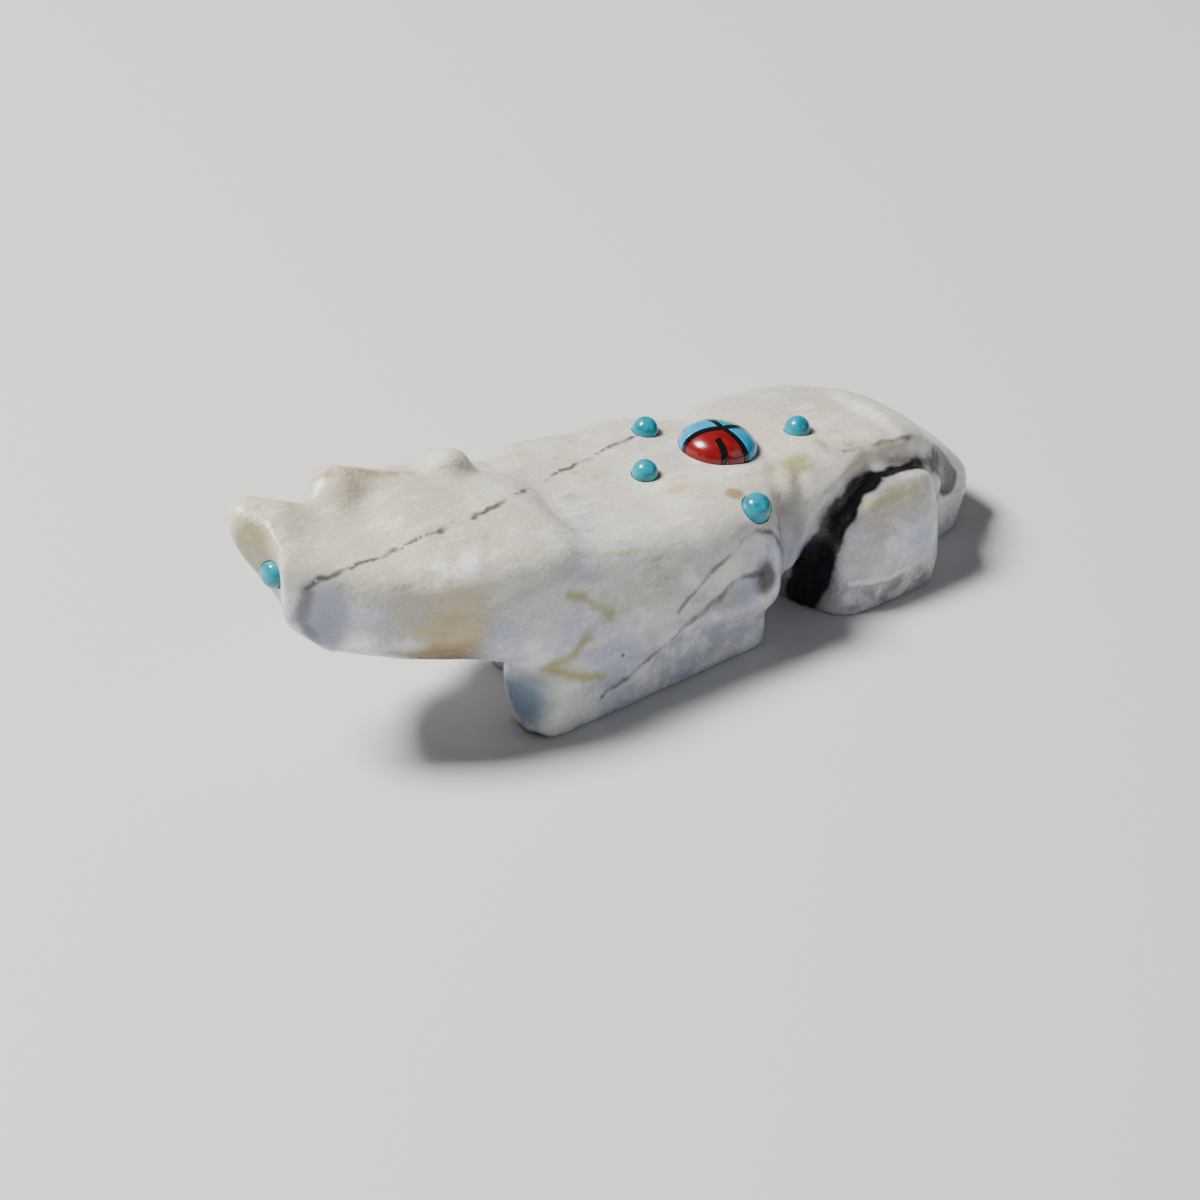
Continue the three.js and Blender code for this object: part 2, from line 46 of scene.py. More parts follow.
def camera_axes(azimuth, elevation):
    """Unit vectors towards the camera, to its right and up, from its two angles in degrees."""
    a, e = math.radians(azimuth), math.radians(elevation)
    towards = np.array([math.sin(a) * math.cos(e), -math.cos(a) * math.cos(e), math.sin(e)])
    right = np.array([math.cos(a), math.sin(a), 0.0])
    return towards, right, np.cross(towards, right)


towards, right, up = camera_axes(-40.8, 31.0)
looked_at = np.array([-0.00207, 0.00092, 0.0038])
camera_distance = 0.7
half_view = 0.04444


def aim(thing, place, target):
    """Puts a camera or lamp at a place and turns its -Z towards a target, with its Y as far up as it goes."""
    z = (place - target) / np.linalg.norm(place - target)
    x = np.cross([0.0, 0.0, 1.0], z)
    x /= np.linalg.norm(x)
    y = np.cross(z, x)
    thing.matrix_world = Matrix([[x[i], y[i], z[i], place[i]] for i in range(3)] + [[0.0, 0.0, 0.0, 1.0]])


camera = bpy.data.objects.new("camera", bpy.data.cameras.new("camera"))
camera.data.angle = 2 * math.atan(half_view / camera_distance)
camera.data.clip_start = 0.01
bpy.context.collection.objects.link(camera)
aim(camera, looked_at + camera_distance * towards, looked_at)
bpy.context.scene.camera = camera

for name, place, width, watts, colour in (
    ("window", -0.36 * right + 0.46 * up + 0.30 * towards, 0.20, 11.0, (1.0, 0.985, 0.95)),
    ("bounce", 0.55 * right + 0.12 * up + 0.35 * towards, 0.40, 0.5, (0.88, 0.93, 1.0)),
):
    lamp = bpy.data.lights.new(name, "AREA")
    lamp.size = width
    lamp.energy = watts
    lamp.color = colour
    lamp_object = bpy.data.objects.new(name, lamp)
    bpy.context.collection.objects.link(lamp_object)
    aim(lamp_object, looked_at + place, looked_at)

world = bpy.data.worlds.new("room")
world.use_nodes = True
world.node_tree.nodes["Background"].inputs["Color"].default_value = (0.92, 0.95, 1.0, 1.0)
world.node_tree.nodes["Background"].inputs["Strength"].default_value = 0.12
bpy.context.scene.world = world

table_top = bpy.data.meshes.new("table_top")
table_top.from_pydata([(-2, -2, 0), (2, -2, 0), (2, 2, 0), (-2, 2, 0)], [], [(0, 1, 2, 3)])
table = bpy.data.objects.new("table_top", table_top)
bpy.context.collection.objects.link(table)
table_paint = bpy.data.materials.new("table_paint")
table_paint.use_nodes = True
table_paint.node_tree.nodes["Principled BSDF"].inputs["Base Color"].default_value = (0.6, 0.6, 0.6, 1.0)
table_paint.node_tree.nodes["Principled BSDF"].inputs["Roughness"].default_value = 0.8
table_top.materials.append(table_paint)


# The animal is one piece of veined marble. It was sawn and ground with a wheel into flats, grooved with a
# thin burr, drilled for the inlay, and polished by hand. Its form is drawn in millimetres as distances:
# negative inside the stone, and zero on its surface.

middle_y = -0.5
drawn_middle = np.array([1.57, -0.36, 0.0])


def join(a, b, k):
    """The lesser of two distances, rounded over a width k: min(a, b) - (k - |a - b|)^2 / 4k where they
    are close."""
    h = np.maximum(k - np.abs(a - b), 0) / k
    return np.minimum(a, b) - h * h * k / 4


def keep(a, b, k):
    """The greater of two distances, rounded over k: what both keep."""
    return -join(-a, -b, k)


def cut(a, b, k):
    """Distance a with b taken away: the greater of a and -b, rounded over k."""
    return keep(a, -b, k)


def flat(p, through, facing):
    """Distance to a ground flat: (p - through) along the unit normal of facing."""
    n = np.array(facing, float)
    n /= np.linalg.norm(n)
    return (p[0] - through[0]) * n[0] + (p[1] - through[1]) * n[1] + (p[2] - through[2]) * n[2]


def ground(p, flats, k):
    """A block ground to several flats: the greatest of their distances, with the edges rounded over k."""
    d = flat(p, *flats[0])
    for through, facing in flats[1:]:
        d = keep(d, flat(p, through, facing), k)
    return d


def block(p, middle, half, rounding):
    """Distance to a box with rounded edges: the length of what reaches past its core, less the rounding."""
    q = [np.abs(p[i] - middle[i]) - half[i] + rounding for i in range(3)]
    outside = np.sqrt(sum(np.maximum(c, 0) ** 2 for c in q))
    return outside + np.minimum(np.maximum(q[0], np.maximum(q[1], q[2])), 0) - rounding


def egg(p, middle, half):
    """Distance to an egg: with q = p / half, about |q| (|q| - 1) / |q / half|."""
    q = [(p[i] - middle[i]) / half[i] for i in range(3)]
    near = np.sqrt(sum(c * c for c in q))
    slope = np.sqrt(sum((c / h) ** 2 for c, h in zip(q, half)))
    return near * (near - 1) / (slope + 1e-9)


def rod(p, start, end, start_radius, end_radius):
    """Distance to a rod with round ends: how far p is from the nearest point of its axis, less the radius."""
    along = np.subtract(end, start).astype(float)
    reach = [p[i] - start[i] for i in range(3)]
    t = np.clip(sum(r * a for r, a in zip(reach, along)) / (along @ along), 0, 1)
    away = np.sqrt(sum((r - t * a) ** 2 for r, a in zip(reach, along)))
    return away - start_radius - (end_radius - start_radius) * t


def bent_rod(p, stops, radius, k):
    """Rods of one radius from stop to stop, joined over k."""
    d = rod(p, stops[0], stops[1], radius, radius)
    for a, b in zip(stops[1:], stops[2:]):
        d = join(d, rod(p, a, b, radius, radius), k)
    return d


saddle = ((3, middle_y, 13.7), (0.24, -0.11, 1))
neck = ((-30.3, middle_y, 17.7), (0.025, -0.43, 1))


def back(p):
    """The part under both flats: the saddle falls to the tail, and the neck to the left of its crest."""
    return keep(flat(p, *saddle), flat(p, *neck), 5)


def shoulders(p):
    """Six flats round the chest under the back, with the right side ground last and sharper."""
    sides = ground(p, [
        ((-5, -7.5, 11), (-0.04, -1, 0.2)),
        ((-17.6, -5, 11), (-0.8, -0.5, 0)),
        ((-16.5, 6, 11), (-0.8, 0.5, 0)),
        ((-16.5, 0, 7.9), (-0.5, 0, -0.85)),
        ((-5, 0, 4.2), (0, 0, -1)),
        ((9.8, 0, 10), (1, 0, 0)),
    ], 3)
    withers = keep(back(p), flat(p, (-14, 6.5, 17.1), (-0.25, 0.35, 1)), 1)
    return keep(keep(sides, withers, 1.8), flat(p, (-5, 7.7, 11), (0.01, 1, 0.07)), 1.3)


head_turn = math.radians(57)
face_at = (-26.9, 3.9)


def face_axes(p):
    """The face's own axes: out along the snout, across it towards the right eye, and up."""
    dx, dy = p[0] - face_at[0], p[1] - face_at[1]
    s, c = math.sin(head_turn), math.cos(head_turn)
    return dy * s - dx * c, dx * s + dy * c, p[2]


def from_face(out, across, height):
    """A point given in the face's own axes."""
    s, c = math.sin(head_turn), math.cos(head_turn)
    return np.array([face_at[0] - out * c + across * s, face_at[1] + out * s + across * c, height])


def head(p):
    """Six flats under the neck and the crown, joined by the right brow, and cut off by the face."""
    sides = ground(p, [
        ((-27.5, -0.9, 15), (-0.62, -0.78, 0.12)),
        ((-21, -5.4, 13.5), (0, -1, 0.1)),
        ((-18, 6.9, 15), (0.08, 1, 0.05)),
        ((-24, -3, 7.7), (0, -0.12, -0.95)),
        ((-29, 0, 12), (-0.6, -0.2, -0.75)),
        ((-9, 0, 14), (1, 0, -0.3)),
    ], 3.4)
    crown = keep(back(p), flat(p, (-24, 4, 20.1), (0.33, 0.3, 1)), 0.7)
    right_brow = rod(p, (-21.2, 6.2, 19.1), (-13, 6, 15.2), 1.5, 1.2)
    skull = join(keep(sides, crown, 1.4), right_brow, 3)
    return keep(skull, flat(face_axes(p), (0.35, 0, 17.5), (1, 0, -0.17)), 0.6)


muzzle_reach = 5.2
muzzle_half_width = 2.7
muzzle_top = 20.1
jaw = 13.2
muzzle_root = 1.6


def muzzle(p):
    """Six flats in the face's axes: two flanks, the bridge, the nose, the jaw, and one inside the skull."""
    cheek_height = (muzzle_top + jaw) / 2
    return ground(face_axes(p), [
        ((0, -muzzle_half_width, cheek_height), (0.16, -1, 0.16)),
        ((0, muzzle_half_width, cheek_height), (0.16, 1, 0.16)),
        ((0, 0, muzzle_top), (-0.16, -0.2, 1)),
        ((muzzle_reach, 0, cheek_height), (1, 0, 0)),
        ((0, 0, jaw), (0.86, 0, -1)),
        ((-muzzle_root, 0, cheek_height), (-1, 0, 0.45)),
    ], 1.8)


def eye_hollow(p, side):
    """A rod down the face beside an eye, to be taken away."""
    across = side * (muzzle_half_width + 1.3)
    return rod(face_axes(p), (1.2, across, muzzle_top - 1), (0.9, across, jaw + 0.6), 1.2, 1.2)


def rump(p):
    """The top falls to the tail in four flats. The left side slopes in, and the right is nearly upright."""
    top = ground(p, [
        ((12, 0, 12.9), (0.03, 0, 1)),
        ((21, 0, 12.3), (0.28, 0, 1)),
        ((28.2, 0, 10.3), (0.66, 0, 1)),
        ((31.7, 0, 6), (1, 0, 0.5)),
        ((20, 0, 3.6), (0, 0, -1)),
        ((3, 0, 5), (-1, 0, 0)),
    ], 2.6)
    left = ground(p, [((20, -8.2, 6), (0, -1, 0.34)), ((28, -6.4, 5), (0.7, -0.7, 0.2))], 2.6)
    right_side = ground(p, [((20, 7.7, 8), (0, 1, 0.06)), ((28, 5.6, 5), (0.7, 0.7, 0.2))], 2.6)
    return keep(keep(top, left, 3.4), right_side, 2)


def tail(p):
    """Seven flats: the tail hangs down the end of the rump and turns in at its tip."""
    return ground(p, [
        ((28.2, 0, 9.2), (0.75, 0, 1)),
        ((34.1, 0, 3.8), (1, 0, 0.5)),
        ((30.6, -4.2, 6.5), (0.6, -0.5, 0.6)),
        ((33.6, 0, 3), (1, 0, -0.62)),
        ((28, -4.8, 4), (0.16, -1, 0)),
        ((28, 3.8, 4), (0.16, 1, 0)),
        ((24.5, 0, 4), (-1, 0, 0)),
    ], 1.6)


def foreleg(q, front):
    """A forearm along the ground from the toe to the elbow's knob, drawn on the left and mirrored."""
    feet_rear = 10
    middle = (front + feet_rear) / 2
    forearm = block(q, (middle, 4.9, 2.9), (feet_rear - middle, 2.8, 4.4), 2.8)
    outer = keep(forearm, flat(q, (0, 7.4, 1), (0, 1, -0.22)), 1)
    toe = keep(outer, flat(q, (front + 0.6, 5, 1.4), (-1, 0, -0.5)), 2)
    return join(toe, egg(q, (8, 6, 8.2), (2.6, 1.7, 3)), 1)


def hind_leg(q):
    """A thigh and foot ground to nine flats."""
    return ground(q, [
        ((14.9, 5.9, 2), (-0.96, 0.28, 0.04)),
        ((20, 9.5, 3.2), (0, 1, -0.16)),
        ((20, 9.3, 1), (0, 1, -0.04)),
        ((26.5, 7.6, 1.6), (0.8, 0.2, -0.5)),
        ((20, 8.5, 6), (0, 1, 0.36)),
        ((26.2, 6, 3), (1, 0.12, 0.12)),
        ((20, 6, 10), (0.1, 0.12, 1)),
        ((20, 1.5, 4), (0, -1, 0)),
        ((20, 5, -3), (0, 0, -1)),
    ], 2.2)


arm_crease = ((-16, 9, 7.6), (-4, 9.3, 6.6), (5, 9.3, 7.4), (7, 8.9, 10.5))
left_thigh = (
    (13.7, 5, 1.5), (14.1, 7.1, 7.1), (15.9, 7.4, 9.1), (20.8, 6.1, 10.7), (25.9, 5.5, 9.3), (28.7, 4.6, 7.7),
)
right_thigh = (
    (13.7, 5.4, 1.5), (14, 8.3, 7.1), (16, 8.5, 9), (20.8, 8.3, 10.5), (25.9, 6.9, 9.2), (28.7, 5, 7.7),
)


def carving(p):
    """The whole stone: the masses joined, with the hollows and grooves cut. It goes on below the ground."""
    d = join(shoulders(p), head(p), 3)
    d = join(d, rump(p), 2.5)
    d = join(d, egg(p, (-11.7, 5, 17), (2.3, 1.6, 1.9)), 1)
    d = cut(d, rod(p, (-6.4, 9, 17.2), (-7.4, 3.2, 18.6), 2.2, 1.2), 1.5)
    for side, front, waist, width, thigh in (
        (-1, -14.2, 12.5, 2.3, left_thigh),
        (1, -8.6, 10.6, 2.6, right_thigh),
    ):
        q = (p[0], (p[1] - middle_y) * side, p[2])
        d = join(d, foreleg(q, front), 1)
        d = cut(d, rod(q, (waist, 7.7 + width, 20), (waist, 5.9 + width, 0), width, width), 1.8)
        d = join(d, hind_leg(q), 1.2)
        d = cut(d, bent_rod(q, arm_crease, 1.3, 0.6), 1)
        d = cut(d, bent_rod(q, thigh, 0.9, 0.6), 0.9)
        d = cut(d, rod(q, (27.6, 6.6, 9.6), (27.2, 6.2, -3), 1, 1.3), 1)
    d = join(d, tail(p), 0.8)
    d = join(d, muzzle(p), 1.2)
    d = join(d, block(p, (0, middle_y, 3), (8.6, 5, 4), 1.5), 1)
    d = join(d, block(p, (21, middle_y, 3), (7.2, 5, 4), 1.5), 1)
    d = cut(d, eye_hollow(p, -1), 0.6)
    d = cut(d, eye_hollow(p, 1), 0.6)
    d = cut(d, block(p, (11.7, 0, 0), (2.5, 20, 4.2), 1.8), 0.8)
    return cut(d, rod(p, (-30, middle_y, -0.4), (40, middle_y, -0.4), 1.7, 1.7), 0.8)


def slope_of(form, p, step=0.05):
    """Unit normals of a form at points (3, n): how its distance differs over two steps along each axis."""
    rise = []
    for axis in range(3):
        shift = np.zeros((3, 1))
        shift[axis] = step
        rise.append(form(p + shift) - form(p - shift))
    rise = np.array(rise)
    return rise / (np.linalg.norm(rise, axis=0) + 1e-12)


def seat_of(start, heading):
    """Marches from a start along a heading to the carving. Returns the point, in drawn millimetres, and three
    unit axes there: one across, one along, and the way out of the stone, turned from upright by the
    shortest way."""
    p = np.array(start, float).reshape(3, 1)
    heading = np.array(heading, float).reshape(3, 1)
    heading /= np.linalg.norm(heading)
    for step in range(200):
        p = p + heading * carving(p) * 0.5
    out = slope_of(carving, p)[:, 0]
    v = np.cross([0.0, 0.0, 1.0], out)
    k = np.array([[0, -v[2], v[1]], [v[2], 0, -v[0]], [-v[1], v[0], 0]])
    turn = np.eye(3) + k + k @ k / (1 + out[2])
    return p[:, 0], turn


down = (0, 0, -1)
eye_out = muzzle_reach / 8
eye_side = muzzle_half_width * 3
eye_height = jaw + 0.43 * (muzzle_top - jaw)
seats = {
    "sun": seat_of((10.55, -0.05, 30), down),
    "dot_front": seat_of((3.0, -0.45, 30), down),
    "dot_rear": seat_of((17.55, -1.05, 30), down),
    "dot_left": seat_of((8.3, -6.95, 30), down),
    "dot_right": seat_of((7.2, 4.35, 30), down),
}
for side, name in ((-1, "eye_left"), (1, "eye_right")):
    beside = from_face(eye_out, side * eye_side, eye_height)
    seats[name] = seat_of(beside, from_face(eye_out, 0, eye_height) - beside)


def hand_work(p):
    """How much deeper than the drawn form the wheel and the years went, in millimetres: an even skin, and
    slow waves, sines of turned axes raised by 1.6 so that none is under nought."""
    x, y, z = p
    waves = (
        np.sin(0.93 * x + 0.4 * y) * np.sin(0.81 * y - 0.5 * z + 1.0)
        + 0.6 * np.sin(1.7 * x - 1.1 * z + 2.0) * np.sin(1.3 * y + 0.7 * x)
    )
    skin, swell = 0.045, 0.035
    return skin + swell * (1.6 + waves)


def finished_stone(p):
    """The carving with its finer cuts: the two folds at the left waist, chips along the feet, and the wheel's
    waves. Each only takes stone away."""
    d = carving(p)
    for stops, radius in (
        (((12.9, -3.4, 13.3), (11.6, -6.1, 12.4), (11.0, -7.5, 9.6), (11.2, -7.9, 5.2)), 0.45),
        (((14.2, -5.0, 12.9), (13.3, -7.3, 10.3), (12.7, -7.9, 7.4), (12.9, -7.8, 4.6)), 0.4),
    ):
        d = cut(d, bent_rod(p, stops, radius, 0.3), 0.7)
    for chip, size in (
        ((-6.2, -8.4, -0.1), (0.9, 0.5, 0.45)),
        ((-4.9, -8.35, -0.1), (0.6, 0.4, 0.35)),
        ((17.6, -10.0, 0.0), (1.2, 0.6, 0.5)),
        ((22.4, -9.9, -0.1), (0.8, 0.5, 0.5)),
        ((-12.6, -6.4, 0.0), (0.7, 0.6, 0.4)),
    ):
        d = cut(d, egg(p, chip, size), 0.2)
    return np.maximum(d + hand_work(p), -p[2])


def laid_net(form, low, high, cell):
    """A closed net over a form. In each cube of the grid that the surface crosses lies one knot, the mean of
    where it crosses the cube's edges, then pulled onto the surface twice along the slope. Each grid edge that
    is crossed gets a face between the four cubes around it."""
    counts = [int(math.ceil((h - l) / cell)) + 1 for l, h in zip(low, high)]
    axes = [low[i] + cell * np.arange(counts[i]) for i in range(3)]
    field = np.empty(counts)
    for start in range(0, counts[0], 16):
        x, y, z = np.meshgrid(axes[0][start:start + 16], axes[1], axes[2], indexing="ij")
        field[start:start + 16] = form(np.array([x, y, z]))
    inside = field < 0
    cubes = tuple(n - 1 for n in counts)
    corner = [(a, b, c) for a in (0, 1) for b in (0, 1) for c in (0, 1)]
    part = [inside[a:a + cubes[0], b:b + cubes[1], c:c + cubes[2]] for a, b, c in corner]
    full = np.logical_and.reduce(part)
    some = np.logical_or.reduce(part)
    crossed = np.argwhere(some & ~full)
    number = np.full(cubes, -1)
    number[tuple(crossed.T)] = np.arange(len(crossed))
    total = np.zeros((len(crossed), 3))
    times = np.zeros((len(crossed), 1))
    for a in corner:
        for axis in range(3):
            if a[axis]:
                continue
            b = list(a)
            b[axis] = 1
            here = field[tuple((crossed + a).T)]
            there = field[tuple((crossed + b).T)]
            cuts = (here < 0) != (there < 0)
            t = np.where(cuts, here / np.where(cuts, here - there, 1), 0)
            spot = np.array(a, float) + np.zeros((len(crossed), 3))
            spot[:, axis] = t
            total += np.where(cuts[:, None], spot, 0)
            times += cuts[:, None]
    knots = np.array(low)[:, None] + cell * (crossed + total / times).T
    for step in range(2):
        knots = knots - 0.8 * form(knots) * slope_of(form, knots, 0.03)
    faces = []
    for axis in range(3):
        ahead = np.roll(inside, -1, axis)
        edge = np.argwhere(inside != ahead)
        others = [i for i in range(3) if i != axis]
        good = edge[:, axis] < counts[axis] - 1
        for i in others:
            good &= (edge[:, i] > 0) & (edge[:, i] < counts[i] - 1)
        edge = edge[good]
        out = inside[tuple(edge.T)]
        u, v = (axis + 1) % 3, (axis + 2) % 3
        ring = []
        for du, dv in ((0, 0), (1, 0), (1, 1), (0, 1)):
            cube = edge.copy()
            cube[:, u] -= du
            cube[:, v] -= dv
            ring.append(number[tuple(cube.T)])
        quad = np.stack(ring, 1)
        faces.append(np.where(out[:, None], quad, quad[:, ::-1]))
    return knots, np.concatenate(faces)


def smooth(mesh):
    """Shades a mesh smooth but for its edges over 40 degrees."""
    mesh.polygons.foreach_set("use_smooth", np.ones(len(mesh.polygons), bool))
    mesh.set_sharp_from_angle(angle=math.radians(40))


def mesh_from(name, points, faces):
    """A mesh object from points (3, n) in drawn millimetres and a list of faces, moved over the origin and
    into metres."""
    mesh = bpy.data.meshes.new(name)
    mesh.from_pydata(((points - drawn_middle[:, None]) / 1000).T.tolist(), [], faces)
    smooth(mesh)
    made = bpy.data.objects.new(name, mesh)
    bpy.context.collection.objects.link(made)
    return made


net_cell = 0.3
knots, faces = laid_net(finished_stone, (-33.6, -11.2, -0.7), (35.2, 11.0, 22.4), net_cell)
knots[2] = np.maximum(knots[2], 0)
stone = mesh_from("marble_animal", knots, faces.tolist())


def closed_rings(name, seat, rings, ends):
    """A closed body on a seat: rings (3, count, sides) from the bottom up, with quads from ring to ring, and
    fans of triangles to its two ends (3, 2), the bottom's middle and the top's."""
    foot, turn = seat
    count, sides = rings.shape[1:]
    points = turn @ np.concatenate([rings.reshape(3, -1), ends], 1) + foot[:, None]
    i = np.arange(sides)
    j = (i + 1) % sides
    below = (np.arange(count - 1) * sides)[:, None]
    quads = np.stack([below + i, below + j, below + sides + j, below + sides + i], 2).reshape(-1, 4)
    bottom = np.stack([np.full(sides, count * sides), j, i], 1)
    last = (count - 1) * sides
    top = np.stack([np.full(sides, count * sides + 1), last + i, last + j], 1)
    return mesh_from(name, points, quads.tolist() + bottom.tolist() + top.tolist())


def turned(name, seat, radius, profile, sides):
    """A turned body over a seat, as two parameters: an angle, and a profile of (share of the radius, height)
    from the bottom's middle to the top's. The radius may be a number for each angle."""
    angle = 2 * np.pi * np.arange(sides) / sides
    profile = np.array(profile, float)
    reach = np.outer(profile[1:-1, 0], radius * np.ones(sides))
    height = np.outer(profile[1:-1, 1], np.ones(sides))
    rings = np.array([reach * np.cos(angle), reach * np.sin(angle), height])
    ends = np.array([[0, 0, profile[0, 1]], [0, 0, profile[-1, 1]]]).T
    return closed_rings(name, seat, rings, ends)


def cut_out(thing, cutters):
    """Takes closed cutters away from a piece, and leaves the cutters out of the scene."""
    for cutter in cutters:
        step = thing.modifiers.new("cut", "BOOLEAN")
        step.operation = "DIFFERENCE"
        step.solver = "EXACT"
        step.object = cutter
    bpy.context.view_layer.update()
    shaped = bpy.data.meshes.new_from_object(thing.evaluated_get(bpy.context.evaluated_depsgraph_get()))
    thing.modifiers.clear()
    thing.data = shaped
    smooth(shaped)
    for cutter in cutters:
        bpy.data.objects.remove(cutter)


glue_line = 0.05
dot_depth = 1.2
eye_depth = 0.9
dot_dome = 1.05
eye_dome = 0.7
sun_radius = 2.95
sun_depth = 1.1
drill_top = 3.0
peg_radius = {
    "dot_front": 1.0,
    "dot_rear": 1.0,
    "dot_left": 1.175,
    "dot_right": 1.0,
    "eye_left": 1.05,
    "eye_right": 1.05,
}
cutters = []
for name, radius in [*peg_radius.items(), ("sun", sun_radius)]:
    depth = sun_depth if name == "sun" else eye_depth if name.startswith("eye") else dot_depth
    drill = radius + glue_line
    deep = -depth - glue_line
    hole = [(0, deep), (1, deep), (1, drill_top), (0, drill_top)]
    cutters.append(turned(name + "_socket", seats[name], drill, hole, 64))
cut_out(stone, cutters)


def node(tree, kind, inputs, **settings):
    """Adds a node to a tree with its settings, and its inputs set to values or linked from sockets."""
    made = tree.nodes.new(kind)
    for key, value in settings.items():
        setattr(made, key, value)
    for key, value in inputs.items():
        if isinstance(value, bpy.types.NodeSocket):
            tree.links.new(value, made.inputs[key])
        else:
            made.inputs[key].default_value = value
    return made


def vector_math(tree, operation, *inputs):
    """What a vector operation gives: a number from a dot product, length or distance, and else a vector."""
    keys = (0, "Scale") if operation == "SCALE" else range(len(inputs))
    made = node(tree, "ShaderNodeVectorMath", dict(zip(keys, inputs)), operation=operation)
    return made.outputs["Value" if operation in ("DOT_PRODUCT", "LENGTH", "DISTANCE") else "Vector"]


def number_math(tree, operation, a, b, clamp=False):
    """What an operation on two numbers gives, kept from 0 to 1 where it is clamped."""
    return node(tree, "ShaderNodeMath", {0: a, 1: b}, operation=operation, use_clamp=clamp).outputs[0]


def soft_step(tree, value, low, high):
    """A number that goes smoothly from 0 where a value is low to 1 where it is high."""
    span = {"Value": value, "From Min": low, "From Max": high, "To Min": 0.0, "To Max": 1.0}
    return node(tree, "ShaderNodeMapRange", span, interpolation_type="SMOOTHSTEP").outputs[0]


def new_group(name, vectors, number):
    """A shader node group with vectors as its inputs and one number as its output."""
    group = bpy.data.node_groups.new(name, "ShaderNodeTree")
    for key in vectors:
        group.interface.new_socket(name=key, in_out="INPUT", socket_type="NodeSocketVector")
    group.interface.new_socket(name=number, in_out="OUTPUT", socket_type="NodeSocketFloat")
    given = group.nodes.new("NodeGroupInput").outputs
    return group, given, group.nodes.new("NodeGroupOutput").inputs[number]


def tone(red, green, blue):
    """A colour from 0 to 255 on the screen as the light it stands for, with a full alpha."""
    share = np.array([red, green, blue]) / 255
    return (*np.where(share <= 0.04045, share / 12.92, ((share + 0.055) / 1.055) ** 2.4), 1.0)


streak_group, given, result = new_group("distance_to_streak", ("Place", "Start", "End"), "Distance")
along = vector_math(streak_group, "SUBTRACT", given["End"], given["Start"])
reach = vector_math(streak_group, "SUBTRACT", given["Place"], given["Start"])
ahead = vector_math(streak_group, "DOT_PRODUCT", reach, along)
whole = vector_math(streak_group, "DOT_PRODUCT", along, along)
share = number_math(streak_group, "DIVIDE", ahead, whole, clamp=True)
foot = vector_math(streak_group, "SCALE", along, share)
streak_group.links.new(vector_math(streak_group, "DISTANCE", reach, foot), result)

patch_group, given, result = new_group("soft_patch", ("Place", "Middle", "Size"), "Amount")
offset = vector_math(patch_group, "SUBTRACT", given["Place"], given["Middle"])
span = vector_math(patch_group, "LENGTH", vector_math(patch_group, "DIVIDE", offset, given["Size"]))
patch_group.links.new(soft_step(patch_group, span, 1.1, 0.45), result)


class Stain:
    """Lays colours one over the other in a material's tree, at places in drawn millimetres. An amount is a
    number from 0 to 1 that says how much of a colour lies at a place."""

    def __init__(self, tree, under):
        self.tree = tree
        self.colour = under
        coordinates = node(tree, "ShaderNodeTexCoord", {}).outputs["Object"]
        drawn = vector_math(tree, "SCALE", coordinates, 1000.0)
        self.place = vector_math(tree, "ADD", drawn, tuple(drawn_middle))
        self.wandering = self.wander(1.1, 0.45)

    def wander(self, amount, scale):
        """The place moved about by a slow noise, so that an edge isn't drawn with a ruler."""
        slow = {"Vector": self.place, "Scale": scale, "Detail": 2.0, "Roughness": 0.5}
        shift = node(self.tree, "ShaderNodeTexNoise", slow).outputs["Color"]
        centred = vector_math(self.tree, "SUBTRACT", shift, (0.5, 0.5, 0.5))
        return vector_math(self.tree, "ADD", self.place, vector_math(self.tree, "SCALE", centred, amount))

    def noise(self, scale, low, high, detail=3.0, stretch=(1, 1, 1)):
        """A noise of the place times a stretch, from 0 at one of its levels to 1 at another."""
        place = vector_math(self.tree, "MULTIPLY", self.place, stretch)
        grain = {"Vector": place, "Scale": scale, "Detail": detail, "Roughness": 0.6}
        return soft_step(self.tree, node(self.tree, "ShaderNodeTexNoise", grain).outputs["Fac"], low, high)

    def under(self, through, facing, deep, shallow):
        """How near a place is to a flat from below: 1 from a depth of shallow up, and 0 from deep down."""
        normal = np.array(facing, float) / np.linalg.norm(facing)
        height = vector_math(self.tree, "DOT_PRODUCT", self.wandering, tuple(normal))
        level = float(np.dot(normal, through))
        return soft_step(self.tree, height, level - deep, level - shallow)

    def any_of(self, amounts):
        """The greatest of several amounts."""
        most = amounts[0]
        for amount in amounts[1:]:
            most = number_math(self.tree, "MAXIMUM", most, amount)
        return most

    def both(self, a, b):
        """One amount times another: much only where both are much."""
        return number_math(self.tree, "MULTIPLY", a, b)

    def patch(self, middle, size):
        """1 about a middle, and 0 from a little past a size along each axis."""
        inputs = {"Place": self.wandering, "Middle": middle, "Size": size}
        return node(self.tree, "ShaderNodeGroup", inputs, node_tree=patch_group).outputs[0]

    def streak(self, stops, width, soft):
        """1 within a width of a line through the stops, and 0 past its soft edge."""
        distances = []
        for start, end in zip(stops, stops[1:]):
            inputs = {"Place": self.wandering, "Start": start, "End": end}
            distances.append(node(self.tree, "ShaderNodeGroup", inputs, node_tree=streak_group).outputs[0])
        nearest = distances[0]
        for distance in distances[1:]:
            nearest = number_math(self.tree, "MINIMUM", nearest, distance)
        return soft_step(self.tree, nearest, width + soft, width)

    def lay(self, colour, amount, strength=1.0):
        """Lays a colour over what is there, by an amount times a strength."""
        share = number_math(self.tree, "MULTIPLY", amount, strength, clamp=True)
        mix = node(self.tree, "ShaderNodeMix", {0: share, 6: self.colour, 7: colour}, data_type="RGBA")
        self.colour = mix.outputs[2]


